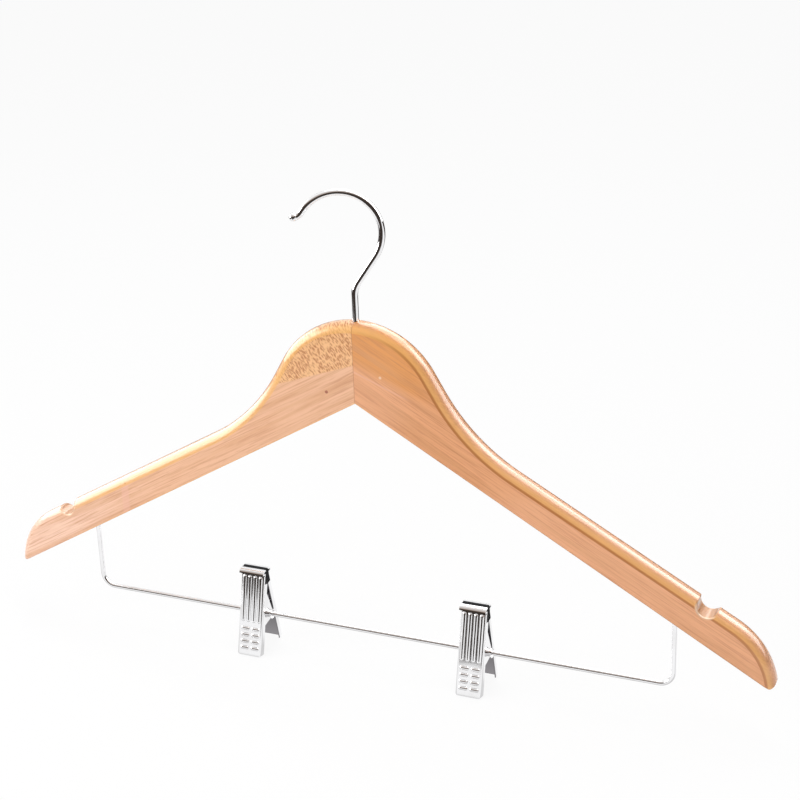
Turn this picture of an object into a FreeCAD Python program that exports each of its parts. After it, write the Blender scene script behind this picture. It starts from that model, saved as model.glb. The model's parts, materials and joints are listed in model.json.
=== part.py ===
"""Wooden skirt hanger: two arms, a swivel hook, a trouser bar and two sprung sliding clips.

Millimetres. X runs along the span, Y from front to back and Z up. The origin is on the hook's swivel
axis, at the inside of the hook where the rail bears. Shapes are drawn from the apex, the middle of the
board's lower edge, and moved down to that origin when they are written.
"""
import FreeCAD
import Part
import math
import os

V = FreeCAD.Vector
AXIS_X = V(1, 0, 0)
AXIS_Y = V(0, 1, 0)
AXIS_Z = V(0, 0, 1)
APEX = V(0, 0, 0)

# Wooden arms
SPAN = 450.0            # tip to tip, before the lower corners are blunted
BOARD_T = 12.0          # thickness
HEAD_H = 44.1           # apex to the top of the head
LOWER_ANGLE = 29.9      # fall of the lower edge, degrees
CROWN_R = 49.0          # round top of the head
FLANK_ANGLE = 59.7      # fall of the straight flank, degrees
FLANK_L = 11.7
SHOULDER_R = 106.0      # hollow between flank and arm
ARM_ANGLE = 29.3        # fall of the arm's upper edge, degrees
TIP_R = 42.0            # round end of the arm
TIP_CORNER_R = 3.0      # blunted lower corner of the tip
EDGE_R = 5.3            # roundover of the upper edges
LOWER_EDGE_R = 0.8      # eased lower edges
NOTCH_IN = 36.2         # strap notch in from the tip
NOTCH_R = 5.4
NOTCH_SINK = 1.0        # notch centre below the arm's upper edge
NOTCH_EASE = 0.8        # eased rim of the notch

# Dowel across the joint
DOWEL_D = 6.0
DOWEL_L = 30.0
DOWEL_Z = 9.0           # above the apex
GLUE_CLEAR = 0.05       # glue line round the dowel and at its ends

# Swivel hook
HOOK_D = 3.5
LOOP_R = 22.0           # centre line of the loop
LOOP_OFFSET = -6.8      # loop centre from the swivel axis
LOOP_RISE = 46.2        # loop centre above the head
HOOK_LEAN = 34.6        # lean of the neck, degrees from upright
NECK_BEND_R = 12.0
LOOP_END = 147.0        # where the loop ends, degrees round its centre
FLARE_R = 4.5           # outward curl of the tip
FLARE_TURN = 57.0       # degrees
TIP_BALL_R = 2.3
HOOK_TURN = 24.0        # swivel at rest, degrees
SHANK_HEAD_D = 5.2
SHANK_HEAD_T = 1.4
BUSH_D = 6.0
BUSH_L = 22.0
BUSH_SINK = 4.0         # wood left over the bush, which the glued halves close in
SWIVEL_CLEAR = 0.05     # shank in bush
SHANK_CLEAR = 0.2       # shank in the wood over the bush
PRESS_CLEAR = 0.02      # pressed pieces in wood
HEAD_PLAY = 0.1         # shank head under the bush

# Trouser bar
BAR_D = 2.8
BAR_DROP = 137.5        # apex down to the bar
BAR_LEG_X = 171.5       # legs from the middle
BAR_BEND_R = 7.5
BAR_SET = 12.0          # depth of the legs in the wood

# Clips
CLIP_X = (-69.5, 63.0)  # left and right clip along the bar
CLIP_W = 15.0
SHEET_T = 0.8
CLIP_D = 8.6            # outer face of a plate from the pivot
JAW_L = 26.2            # pivot to the jaw's edge, along the plate
LEVER_L = 24.0          # pivot to the lever's end, along the plate
FLANGE = 3.6            # depth of the turned side flanges
FLANGE_TOP = 18.4       # flanges end here, above the pivot
BEND_R = 1.2            # outside of the sheet's bends
LEVER_CORNER_R = 1.8
EAR_R = 3.4             # round end of the ears
EAR_TOP = 16.0          # ears end here, above the pivot
EAR_FOOT = 7.0          # ears start here, below the pivot
EAR_GAP = 0.3           # between the two plates' ears
LIP_OUT = 2.2           # lip of the jaw, outwards
LIP_R = 3.0             # round brow of the lip
LIP_RISE = 2.3          # jaw's edge above the lip's foot, along the plate
FOLD_L = 0.6            # level end of the lip, back towards the pad
RIB_COUNT = 4
RIB_W = 2.6
RIB_H = 0.8
RIB_PITCH = 3.3
RIB_TOP = 22.8          # upper end above the pivot
RIB_FOOT = 4.6          # lower end below the pivot
RAISED_ROWS = 4         # raised bars on the lever
RAISED_COLUMNS = 2
RAISED_L = 5.3
RAISED_W = 2.3
RAISED_H = 0.8
RAISED_PITCH = 3.75
RAISED_TOP = 8.3        # first row below the pivot
RAISED_SPREAD = 6.4     # between the two columns
PAD_TIP_T = 1.25        # pad thickness at the jaw's edge
PAD_L = 6.8
PAD_PROUD = 1.0         # pad beyond the jaw's edge
PAD_SIDE = 0.3          # pad inside the plate's sides
PAD_SEAT = 0.02         # pad on its plate
GRIP_R = 0.45           # grooves across the pad
GRIP_COUNT = 3
JAW_GAP = 0.3           # between the closed pads
TUBE_WALL = 0.5
TUBE_FLARE = 0.8
TUBE_FLARE_L = 1.6
TUBE_END_GAP = 0.25     # flare outside the ears
SLIDE_CLEAR = 0.1       # tube on the bar
PIVOT_CLEAR = 0.08      # ears on the tube
SPRING_D = 1.0
SPRING_PITCH = 1.5
SPRING_GAP = 0.35       # coil round the tube
SPRING_LEG = 14.0
SPRING_TURNS = 2        # whole turns each side of the coil's middle
LEG_GAP = 0.1           # spring leg to lever


def heading(angle):
    """Unit vector in the XZ plane, degrees from +X towards +Z."""
    return V(math.cos(math.radians(angle)), 0, math.sin(math.radians(angle)))


def line(start, end):
    return Part.LineSegment(start, end).toShape()


def arc(centre, radius, first, last):
    """Arc in the XZ plane between two angles in degrees."""
    points = [centre + heading(a) * radius for a in (first, (first + last) / 2, last)]
    return Part.Arc(*points).toShape()


def rod(start, axis, length, radius):
    return Part.makeCylinder(radius, length, start, axis)


def wire_form(edges, radius):
    """Round wire bent along a path."""
    path = Part.Wire(edges)
    start = path.OrderedEdges[0]
    tangent = start.tangentAt(start.FirstParameter)
    ring = Part.Wire([Part.Circle(start.valueAt(start.FirstParameter), tangent, radius).toShape()])
    return path.makePipeShell([ring], True, False)


def lower_edge_z(x):
    return -abs(x) * math.tan(math.radians(LOWER_ANGLE))


# Points of the right arm's outline
crown_centre = V(0, 0, HEAD_H - CROWN_R)
crown_end = crown_centre + heading(90 - FLANK_ANGLE) * CROWN_R
flank_end = crown_end + heading(-FLANK_ANGLE) * FLANK_L
shoulder_centre = flank_end + heading(90 - FLANK_ANGLE) * SHOULDER_R
arm_start = shoulder_centre - heading(90 - ARM_ANGLE) * SHOULDER_R


def arm_top_z(x):
    return arm_start.z - (x - arm_start.x) * math.tan(math.radians(ARM_ANGLE))


arm_end_x = SPAN / 2 - TIP_R + TIP_R * math.sin(math.radians(ARM_ANGLE))
arm_end = V(arm_end_x, 0, arm_top_z(arm_end_x))
tip_centre = arm_end - heading(90 - ARM_ANGLE) * TIP_R
along = heading(-LOWER_ANGLE).dot(tip_centre)
reach = along + math.sqrt(along ** 2 - tip_centre.dot(tip_centre) + TIP_R ** 2)
tip_corner = heading(-LOWER_ANGLE) * reach
corner_angle = math.degrees(math.atan2(tip_corner.z - tip_centre.z, tip_corner.x - tip_centre.x))
notch_x = SPAN / 2 - NOTCH_IN
notch_z = arm_top_z(notch_x) - NOTCH_SINK

# Bore for the hook's bush and its shank head
bush_top = HEAD_H - BUSH_SINK
bush_foot = bush_top - BUSH_L
shank_foot = bush_foot - HEAD_PLAY - SHANK_HEAD_T
bore_foot = shank_foot - HEAD_PLAY

# Rail seat on the swivel axis, inside the loop
loop_centre = V(LOOP_OFFSET, 0, HEAD_H + LOOP_RISE)
rail_seat_z = loop_centre.z + math.sqrt((LOOP_R - HOOK_D / 2) ** 2 - LOOP_OFFSET ** 2)

# Clip sizes that follow from the others
tube_bore_r = BAR_D / 2 + SLIDE_CLEAR
tube_r = tube_bore_r + TUBE_WALL
tube_straight = CLIP_W / 2 + TUBE_END_GAP
tube_half = tube_straight + TUBE_FLARE_L
inner_face = CLIP_D - SHEET_T
flat_top = JAW_L - LIP_RISE
jaw_reach = math.hypot(inner_face, JAW_L)
clip_tilt = math.degrees(
    math.acos((PAD_TIP_T + PAD_SEAT + JAW_GAP / 2) / jaw_reach) - math.atan2(JAW_L, inner_face))
coil_r = tube_r + SPRING_GAP + SPRING_D / 2
BAR_AXIS = V(0, 0, -BAR_DROP)


def arm():
    """Right arm: one flat board with rounded upper edges, notch, bores and holes."""
    outline = [
        line(V(0, 0, 0), V(0, 0, HEAD_H)),
        arc(crown_centre, CROWN_R, 90, 90 - FLANK_ANGLE),
        line(crown_end, flank_end),
        arc(shoulder_centre, SHOULDER_R, 270 - FLANK_ANGLE, 270 - ARM_ANGLE),
        line(arm_start, arm_end),
        arc(tip_centre, TIP_R, 90 - ARM_ANGLE, corner_angle),
        line(tip_corner, V(0, 0, 0)),
    ]
    notch = rod(V(notch_x, -BOARD_T, notch_z), AXIS_Y, 2 * BOARD_T, NOTCH_R)
    board = Part.Face(Part.Wire(outline)).extrude(AXIS_Y * BOARD_T).translated(AXIS_Y * (-BOARD_T / 2))
    board = board.makeFillet(EDGE_R, [e for e in board.Edges if on_face_rim(e) and not on_lower_edge(e)])
    board = board.makeFillet(LOWER_EDGE_R, [e for e in board.Edges if on_face_rim(e) and on_lower_edge(e)])
    board = board.cut(notch)
    board = board.makeFillet(NOTCH_EASE, [e for e in board.Edges if on_notch_rim(e)])
    tools = [
        tip_corner_waste(),
        rod(V(0, 0, bore_foot), AXIS_Z, bush_top + PRESS_CLEAR - bore_foot, BUSH_D / 2 + PRESS_CLEAR),
        rod(V(0, 0, bush_top), AXIS_Z, HEAD_H, HOOK_D / 2 + SHANK_CLEAR),
        rod(V(-DOWEL_L / 2 - GLUE_CLEAR, 0, DOWEL_Z), AXIS_X, DOWEL_L + 2 * GLUE_CLEAR, DOWEL_D / 2 + GLUE_CLEAR),
        rod(V(BAR_LEG_X, 0, lower_edge_z(BAR_LEG_X) + BAR_SET + PRESS_CLEAR), -AXIS_Z,
            BAR_SET + BAR_D, BAR_D / 2 + PRESS_CLEAR),
    ]
    return board.cut(tools)


def middle_of(edge):
    return edge.valueAt((edge.FirstParameter + edge.LastParameter) / 2)


def on_face_rim(edge):
    """True for the board's outline on its front or back face, apart from the joint."""
    middle = middle_of(edge)
    return abs(abs(middle.y) - BOARD_T / 2) < 1e-6 and middle.x > 1e-6


def on_lower_edge(edge):
    middle = middle_of(edge)
    return abs(middle.z - lower_edge_z(middle.x)) < 1e-6


def on_notch_rim(edge):
    """True where the notch meets the board's faces and rounded edges."""
    middle = middle_of(edge)
    from_axis = math.hypot(middle.x - notch_x, middle.z - notch_z)
    return abs(from_axis - NOTCH_R) < 1e-6 and abs(middle.y) > 1e-6


def tip_corner_waste():
    """What rounding the sharp lower corner of the tip takes away."""
    along_edge = heading(-LOWER_ANGLE)
    inward = heading(90 - LOWER_ANGLE)
    offset = inward * TIP_CORNER_R - tip_centre
    room = TIP_R - TIP_CORNER_R
    slide = math.sqrt(along_edge.dot(offset) ** 2 - offset.dot(offset) + room ** 2) - along_edge.dot(offset)
    centre = along_edge * slide + inward * TIP_CORNER_R
    out = (centre - tip_centre).normalize()
    low = along_edge * slide
    side = tip_centre + out * TIP_R
    blunt = (tip_corner - centre).normalize()
    clear = tip_corner + blunt * TIP_CORNER_R
    edges = [line(low, low - inward * TIP_CORNER_R), line(low - inward * TIP_CORNER_R, clear),
             line(clear, side + out * TIP_CORNER_R), line(side + out * TIP_CORNER_R, side),
             Part.Arc(side, centre + blunt * TIP_CORNER_R, low).toShape()]
    waste = Part.Face(Part.Wire(edges)).extrude(AXIS_Y * 2 * BOARD_T)
    return waste.translated(AXIS_Y * -BOARD_T)


def hook():
    """Bent wire hook, from its headed shank in the bush to the ball on its flared tip."""
    r = HOOK_D / 2
    neck_end = loop_centre + heading(-HOOK_LEAN) * LOOP_R
    lean = heading(90 - HOOK_LEAN)
    kink = neck_end - lean * (neck_end.x / lean.x)
    bend = NECK_BEND_R * math.tan(math.radians(HOOK_LEAN / 2))
    bend_centre = V(NECK_BEND_R, 0, kink.z - bend)
    flare_centre = loop_centre + heading(LOOP_END) * (LOOP_R + FLARE_R)
    flare_start = LOOP_END - 180
    path = [
        line(V(0, 0, shank_foot), V(0, 0, kink.z - bend)),
        arc(bend_centre, NECK_BEND_R, 180, 180 - HOOK_LEAN),
        line(kink + lean * bend, neck_end),
        arc(loop_centre, LOOP_R, -HOOK_LEAN, LOOP_END),
        arc(flare_centre, FLARE_R, flare_start, flare_start - FLARE_TURN),
    ]
    ball = flare_centre + heading(flare_start - FLARE_TURN) * FLARE_R
    head = rod(V(0, 0, shank_foot), AXIS_Z, SHANK_HEAD_T, SHANK_HEAD_D / 2)
    form = wire_form(path, r).fuse([Part.makeSphere(TIP_BALL_R, ball), head])
    return form.rotated(APEX, AXIS_Z, HOOK_TURN)


def hook_bush():
    sleeve = rod(V(0, 0, bush_foot), AXIS_Z, BUSH_L, BUSH_D / 2)
    return sleeve.cut(rod(V(0, 0, bush_foot), AXIS_Z, BUSH_L, HOOK_D / 2 + SWIVEL_CLEAR))


def trouser_bar():
    top = lower_edge_z(BAR_LEG_X) + BAR_SET
    corner_x = BAR_LEG_X - BAR_BEND_R
    corner_z = BAR_BEND_R - BAR_DROP
    path = [
        line(V(-BAR_LEG_X, 0, top), V(-BAR_LEG_X, 0, corner_z)),
        arc(V(-corner_x, 0, corner_z), BAR_BEND_R, 180, 270),
        line(V(-corner_x, 0, -BAR_DROP), V(corner_x, 0, -BAR_DROP)),
        arc(V(corner_x, 0, corner_z), BAR_BEND_R, 270, 360),
        line(V(BAR_LEG_X, 0, corner_z), V(BAR_LEG_X, 0, top)),
    ]
    return wire_form(path, BAR_D / 2)


def ear(root, near, far):
    """Pair of ears in the YZ plane, from a root line on the plate to a round end on the pivot."""
    ends = []
    for z, side in ((EAR_TOP, 1), (-EAR_FOOT, -1)):
        base = V(0, -root, z)
        turn = math.atan2(z, -root) - side * math.acos(EAR_R / math.hypot(root, z))
        touch = V(0, EAR_R * math.cos(turn), EAR_R * math.sin(turn))
        ends.append((base, touch))
    (top, top_touch), (foot, foot_touch) = ends
    edges = [line(top, top_touch), Part.Arc(top_touch, V(0, EAR_R, 0), foot_touch).toShape(),
             line(foot_touch, foot), line(foot, top)]
    blade = Part.Face(Part.Wire(edges)).extrude(AXIS_X * (far - near))
    return [blade.translated(AXIS_X * near), blade.translated(AXIS_X * -far)]


def raised(middle, axis, length, width, height):
    """Embossed bar with round ends on a plate's outer face."""
    radius = (width ** 2 / 4 + height ** 2) / (2 * height)
    run = length - width
    start = middle - axis * (run / 2) + AXIS_Y * (radius - height - CLIP_D)
    body = rod(start, axis, run, radius)
    body = body.fuse([Part.makeSphere(radius, start), Part.makeSphere(radius, start + axis * run)])
    depth = height + SHEET_T / 2
    keep = Part.makeBox(2 * CLIP_W, depth, 4 * JAW_L, V(-CLIP_W, -CLIP_D - height, -2 * JAW_L))
    return body.common(keep)


def plate(ear_shift):
    """Pressed plate standing upright in front of the pivot, with its ears moved in by ear_shift."""
    half = CLIP_W / 2
    length = JAW_L + LEVER_L
    pan = Part.makeBox(CLIP_W, FLANGE, length, V(-half, -CLIP_D, -LEVER_L))
    pan = pan.makeFillet(BEND_R, [e for e in pan.Edges if upright_front(e)])
    hollow = Part.makeBox(CLIP_W - 2 * SHEET_T, FLANGE, length, V(SHEET_T - half, -inner_face, -LEVER_L))
    jaw_room = Part.makeBox(CLIP_W, FLANGE, JAW_L, V(-half, -inner_face, FLANGE_TOP))
    pan = pan.cut([hollow, jaw_room])
    corner_z = LEVER_CORNER_R - LEVER_L
    corner_x = half - LEVER_CORNER_R
    face = [
        line(V(-half, 0, flat_top), V(-half, 0, corner_z)),
        arc(V(-corner_x, 0, corner_z), LEVER_CORNER_R, 180, 270),
        line(V(-corner_x, 0, -LEVER_L), V(corner_x, 0, -LEVER_L)),
        arc(V(corner_x, 0, corner_z), LEVER_CORNER_R, 270, 360),
        line(V(half, 0, corner_z), V(half, 0, flat_top)),
        line(V(half, 0, flat_top), V(-half, 0, flat_top)),
    ]
    blank = Part.Face(Part.Wire(face)).extrude(AXIS_Y * CLIP_D).translated(AXIS_Y * -CLIP_D)
    pan = pan.common(blank)
    root = CLIP_D - BEND_R if ear_shift == 0 else inner_face + SHEET_T / 2
    adds = ear(root, half - SHEET_T - ear_shift, half - ear_shift)
    adds.append(lip())
    for i in range(RIB_COUNT):
        x = (i - (RIB_COUNT - 1) / 2) * RIB_PITCH
        middle = V(x, 0, (RIB_TOP - RIB_FOOT) / 2)
        adds.append(raised(middle, AXIS_Z, RIB_TOP + RIB_FOOT, RIB_W, RIB_H))
    for row in range(RAISED_ROWS):
        for column in range(RAISED_COLUMNS):
            x = (column - (RAISED_COLUMNS - 1) / 2) * RAISED_SPREAD
            middle = V(x, 0, -RAISED_TOP - row * RAISED_PITCH)
            adds.append(raised(middle, AXIS_X, RAISED_L, RAISED_W, RAISED_H))
    pivot_hole = rod(V(-CLIP_W, 0, 0), AXIS_X, 2 * CLIP_W, tube_r + PIVOT_CLEAR)
    return pan.fuse(adds).cut(pivot_hole).removeSplitter()


def lip():
    """Lip of the jaw: a shelf out from the plate, a round brow and a level end over the pad's side."""
    half = CLIP_W / 2
    steep = math.radians(90 - clip_tilt)
    brow = V(-half, LIP_R - CLIP_D - LIP_OUT, flat_top)
    hollow_r = LIP_R - SHEET_T
    shelf = math.asin(SHEET_T / hollow_r)
    level = V(0, math.sin(steep), math.cos(steep)) * FOLD_L

    def round_brow(radius, angle):
        return brow + V(0, -math.cos(angle), math.sin(angle)) * radius

    outer = [round_brow(LIP_R, steep * i / 2) for i in range(3)]
    inner = [round_brow(hollow_r, shelf + (steep - shelf) * i / 2) for i in range(3)]
    root = V(-half, -inner_face, flat_top + SHEET_T)
    foot = V(-half, -inner_face, flat_top - SHEET_T)
    front_foot = V(-half, -CLIP_D, flat_top - SHEET_T)
    edges = [
        line(foot, front_foot),
        line(front_foot, V(-half, -CLIP_D, flat_top)),
        line(V(-half, -CLIP_D, flat_top), outer[0]),
        Part.Arc(*outer).toShape(),
        line(outer[2], outer[2] + level),
        line(outer[2] + level, inner[2] + level),
        line(inner[2] + level, inner[2]),
        Part.Arc(*inner[::-1]).toShape(),
        line(inner[0], root),
        line(root, foot),
    ]
    return Part.Face(Part.Wire(edges)).extrude(AXIS_X * CLIP_W)


def upright_front(edge):
    ends = [v.Point for v in edge.Vertexes]
    return abs(ends[0].z - ends[1].z) > 1 and all(abs(p.y + CLIP_D) < 1e-6 for p in ends)


def pad():
    """Wedge-shaped grip pad on the inside of an upright plate's jaw."""
    tilt = math.radians(clip_tilt)
    back = -inner_face + PAD_SEAT

    def bite(z):
        return (-JAW_GAP / 2 - z * math.sin(tilt)) / math.cos(tilt)

    half = CLIP_W / 2 - PAD_SIDE
    foot = JAW_L - PAD_L
    top = JAW_L + PAD_PROUD
    corners = [V(-half, back, foot), V(-half, bite(foot), foot), V(-half, bite(top), top), V(-half, back, top)]
    block = Part.Face(Part.makePolygon(corners + corners[:1])).extrude(AXIS_X * 2 * half)
    grooves = []
    for i in range(GRIP_COUNT):
        z = foot + PAD_L * (i + 1) / (GRIP_COUNT + 1)
        grooves.append(rod(V(-half, bite(z), z), AXIS_X, 2 * half, GRIP_R))
    return block.cut(grooves)


def pivot_tube():
    flare = TUBE_FLARE
    half_section = [(tube_half, tube_bore_r + flare), (tube_half, tube_r + flare), (tube_straight, tube_r),
                    (-tube_straight, tube_r), (-tube_half, tube_r + flare), (-tube_half, tube_bore_r + flare),
                    (-tube_straight, tube_bore_r), (tube_straight, tube_bore_r)]
    points = [V(x, 0, r) for x, r in half_section]
    return Part.Face(Part.makePolygon(points + points[:1])).revolve(APEX, AXIS_X, 360)


def biarc(start, start_way, end, end_way):
    """Two tangent arcs between two points with given directions."""
    chord = end - start
    ways = start_way + end_way
    spread = 2 * (1 - start_way.dot(end_way))
    step = (-chord.dot(ways) + math.sqrt(chord.dot(ways) ** 2 + spread * chord.dot(chord))) / spread
    first = start + start_way * step
    last = end - end_way * step
    joint = (first + last) * 0.5
    edges = []
    for a, corner, b in ((start, first, joint), (joint, last, end)):
        middle = (a + b) * 0.5
        half = (b - a).Length / 2
        rise = corner - middle
        sagitta = half * math.tan(math.atan2(rise.Length, half) / 2)
        edges.append(Part.Arc(a, middle + rise * (sagitta / rise.Length), b).toShape())
    return edges


def spring():
    """Torsion spring round the tube: one unbroken wire, its legs on the two levers."""
    leg_side = inner_face - SPRING_D / 2 - LEG_GAP
    lag = math.acos(leg_side / math.hypot(coil_r, SPRING_LEG)) - math.atan2(SPRING_LEG, coil_r)
    end_angle = 2 * math.pi * SPRING_TURNS + math.pi / 2 - math.radians(clip_tilt) + lag
    climb = SPRING_PITCH / (2 * math.pi)

    def point(a):
        return V(climb * a, -coil_r * math.sin(a), coil_r * math.cos(a))

    def way(a):
        return V(climb, -coil_r * math.cos(a), -coil_r * math.sin(a)).normalize()

    quarters = math.ceil(2 * end_angle / (math.pi / 2))
    angles = [-end_angle + 2 * end_angle * i / quarters for i in range(quarters + 1)]
    path = [line(point(-end_angle) - way(-end_angle) * SPRING_LEG, point(-end_angle))]
    for a, b in zip(angles, angles[1:]):
        path += biarc(point(a), way(a), point(b), way(b))
    path.append(line(point(end_angle), point(end_angle) + way(end_angle) * SPRING_LEG))
    wire = Part.Wire(path)
    points = wire.discretize(Number=int(wire.Length / (SPRING_D / 4)))
    away = int(math.pi * coil_r / (SPRING_D / 4))
    gap = min(p.distanceToPoint(q) for i, p in enumerate(points) for q in points[i + away:]) - SPRING_D
    print("spring: least gap to itself %.2f mm, wire %.1f mm long" % (gap, wire.Length))
    return wire_form(path, SPRING_D / 2)


def clip():
    """One clip on the bar axis: jaws up, closed."""
    front_plate = plate(0)
    back_plate = plate(SHEET_T + EAR_GAP).mirror(APEX, AXIS_Y)
    back_pad = pad().mirror(APEX, AXIS_Y)
    return {
        "front_plate": front_plate.rotated(APEX, AXIS_X, -clip_tilt),
        "front_pad": pad().rotated(APEX, AXIS_X, -clip_tilt),
        "back_plate": back_plate.rotated(APEX, AXIS_X, clip_tilt),
        "back_pad": back_pad.rotated(APEX, AXIS_X, clip_tilt),
        "spring": spring(),
        "pivot_tube": pivot_tube(),
    }


def hanger():
    right_arm = arm()
    nodes = {
        "left_arm": right_arm.mirror(APEX, AXIS_X),
        "right_arm": right_arm,
        "joint_dowel": rod(V(-DOWEL_L / 2, 0, DOWEL_Z), AXIS_X, DOWEL_L, DOWEL_D / 2),
        "hook": hook(),
        "hook_bush": hook_bush(),
        "trouser_bar": trouser_bar(),
    }
    pieces = clip()
    for side, x in zip(("left", "right"), CLIP_X):
        for name, shape in pieces.items():
            nodes[side + "_clip_" + name] = shape.translated(BAR_AXIS + AXIS_X * x)
    return nodes


def write(nodes):
    os.makedirs("parts", exist_ok=True)
    for name, shape in nodes.items():
        placed = shape.translated(AXIS_Z * -rail_seat_z)
        placed.exportStep("parts/" + name + ".step")
        box = placed.BoundBox
        print("%-26s solids %d valid %s vol %9.1f  x %7.1f %7.1f y %6.1f %6.1f z %7.1f %7.1f" % (
            name, len(placed.Solids), placed.isValid(), placed.Volume,
            box.XMin, box.XMax, box.YMin, box.YMax, box.ZMin, box.ZMax))


print("rail seat above apex %.2f, bar axis z %.2f, clip tilt %.2f" % (
    rail_seat_z, -BAR_DROP - rail_seat_z, clip_tilt))
write(hanger())
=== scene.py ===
"""Finishes, studio and camera for a wooden skirt hanger with a wire bar and two spring clips."""

import json
import math

import bpy
from bpy.props import FloatProperty, FloatVectorProperty, PointerProperty
from mathutils import Matrix, Vector


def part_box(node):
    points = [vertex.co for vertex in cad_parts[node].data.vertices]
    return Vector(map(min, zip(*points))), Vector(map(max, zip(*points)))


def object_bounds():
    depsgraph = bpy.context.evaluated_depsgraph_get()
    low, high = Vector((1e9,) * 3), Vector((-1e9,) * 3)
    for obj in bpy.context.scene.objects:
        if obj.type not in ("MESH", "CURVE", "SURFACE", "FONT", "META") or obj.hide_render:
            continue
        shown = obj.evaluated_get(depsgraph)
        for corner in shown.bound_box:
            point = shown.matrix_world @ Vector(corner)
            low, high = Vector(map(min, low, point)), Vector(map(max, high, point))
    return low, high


bl_info = {
    "name": "Skirt hanger finishes",
    "version": (1, 0, 0),
    "blender": (4, 5, 0),
    "location": "3D View > Sidebar > Hanger",
    "description": "Lacquered wood, chrome, spring and pad finishes with a white studio",
    "category": "Material",
}

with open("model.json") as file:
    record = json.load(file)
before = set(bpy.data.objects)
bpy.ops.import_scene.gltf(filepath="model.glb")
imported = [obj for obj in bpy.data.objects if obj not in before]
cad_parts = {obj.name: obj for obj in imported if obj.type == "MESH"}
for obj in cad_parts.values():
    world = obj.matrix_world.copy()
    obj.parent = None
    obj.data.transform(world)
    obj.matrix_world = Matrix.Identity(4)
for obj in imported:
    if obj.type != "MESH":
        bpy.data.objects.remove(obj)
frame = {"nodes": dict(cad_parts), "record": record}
CAD_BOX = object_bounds()

MM = 0.001
MOUNTS = {mount["name"]: Vector(mount["pos_m"]) for mount in frame["record"]["mounts"]}
BOARD_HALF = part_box("left_arm")[1].y
CLIP_SIDES = ("left", "right")

# Slope of the arms below the level, and so of their grain.
ARM_SLOPE = math.radians(29.6)

# Marks in the wood, by their place along the hanger (x) and up from the rail seat (z).
FLECK_EDGE_START = Vector((-1.5, 0.0, -88.7)) * MM
FLECK_EDGE_END = Vector((-43.7, 0.0, -103.2)) * MM
FLECK_LEAN = math.radians(-52.0)
LEFT_KNOT = Vector((-16.0, 0.0, -104.4)) * MM
LEFT_KNOT_R = 0.9 * MM
PALE_LINE_START = Vector((-0.9, 0.0, -91.0)) * MM
PALE_LINE_END = Vector((27.0, 0.0, -102.3)) * MM
RIGHT_SPECK = Vector((15.1, 0.0, -93.0)) * MM
RIGHT_SPECK_R = 0.8 * MM
END_JOINT_X = -146.8 * MM
END_JOINT_W = 5.0 * MM
END_JOINT_DOT = Vector((-146.6, 0.0, -175.6)) * MM
END_JOINT_DOT_R = 0.7 * MM
BUTT_LINE_W = 0.22 * MM
NOTCH_PALE_R = 6.2 * MM
NOTCH_DEPTH = 5.4 * MM

# Smooth steps along or up the arms and in from the board's faces: where each starts and where it is whole.
# Where the painted light on the left arm's tip begins and where it is whole, along x.
TIP_STEP = (-110.0 * MM, -200.0 * MM)
DEEP_RISE_STEP = (0.0, 8.0 * MM)
DEEP_END_STEP = (60.0 * MM, 25.0 * MM)
FLECK_EDGE_STEP = (-0.3 * MM, 0.8 * MM)
END_JOINT_STEP = (END_JOINT_W * 0.6, END_JOINT_W * 0.35)
PALE_LINE_STEP = (0.7 * MM, 0.2 * MM)
PALE_LINE_STOP = (34.0 * MM, 24.0 * MM)
OFF_FACE_STEP = (0.002 * MM, 0.025 * MM)
# Painted light on the rounded edges, in from the face.
ROUND_EDGE_STEP = (2.6 * MM, 0.4 * MM)
OFF_TIP_STEP = (-205.0 * MM, -165.0 * MM)
# Painted shade along the right arm's edges, in from the face.
EDGE_SHADE_STEP = (0.4 * MM, 0.1 * MM)
RIGHT_ARM_STEP = (0.0, 40.0 * MM)
# Painted shade on the notch walls: where it starts in from the face and where it is whole.
NOTCH_WALL_STEP = (0.6 * MM, 1.4 * MM)
BUTT_STEP = (BUTT_LINE_W, BUTT_LINE_W * 0.4)

# Smooth steps on values of noise, cells and normals, from none to whole.
TONE_STEP = (0.42, 0.7)
STREAK_STEP = (0.44, 0.7)
PORE_STEP = (0.6, 0.72)
FLECK_STEP = (0.58, 0.4)
FLECK_CHOICE_STEP = (0.02, 0.25)
SPOT_STEP = (1.06, 0.9)
SMUDGE_STEP = (0.35, 0.7)
PLATE_INSIDE_STEP = (0.55, 0.8)
DUST_STEP = (0.55, 0.8)

# Noise: scale, detail and roughness, or the last two where a socket gives the scale.
STREAK_NOISE = (1.0, 4.0, 0.62)
TONE_NOISE = (0.34, 2.0, 0.5)
PORE_NOISE = (1.0, 2.0, 0.5)
DUST_NOISE = (700.0, 3.0, 0.6)
SKIN_NOISE = (2600.0, 2.0, 0.5)
SMUDGE_NOISE = (3.0, 0.55)
RUB_NOISE = (3.0, 0.6)
SMUDGE_SCALE = 90.0
RUB_SCALE = 2500.0

# How the grain is stretched for its bands and pores, and rub marks along x.
BAND_LAYER = 0.4
BAND_ROW = 0.5
PORE_RUN = 3.4
PORE_ROW = 2.3
RUB_STRETCH = 0.15

# Shifts that give each piece of wood a grain of its own.
LEFT_SHIFT = 3.0
RIGHT_SHIFT = 11.0
DOWEL_SHIFT = 7.0

# How strongly each mark covers what lies under it.
BAND_WEIGHT = 0.55
STREAK_WEIGHT = 0.6
PORE_WEIGHT = 0.45
RAY_WEIGHT = 0.7
FLECK_WEIGHT = 0.9
KNOT_WEIGHT = 0.85
END_JOINT_WEIGHT = 0.5
DOT_WEIGHT = 0.7
PALE_LINE_WEIGHT = 0.45
SPECK_WEIGHT = 0.7
# Strength of the painted light on the rounded edges.
ROUND_EDGE_WEIGHT = 0.6
# Strength of the painted shade along the right arm's edges.
EDGE_SHADE_WEIGHT = 0.8
NOTCH_WEIGHT = 0.85
BUTT_WEIGHT = 0.6
SMUDGE_WEIGHT = 0.6
DUST_WEIGHT = 0.5

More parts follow.
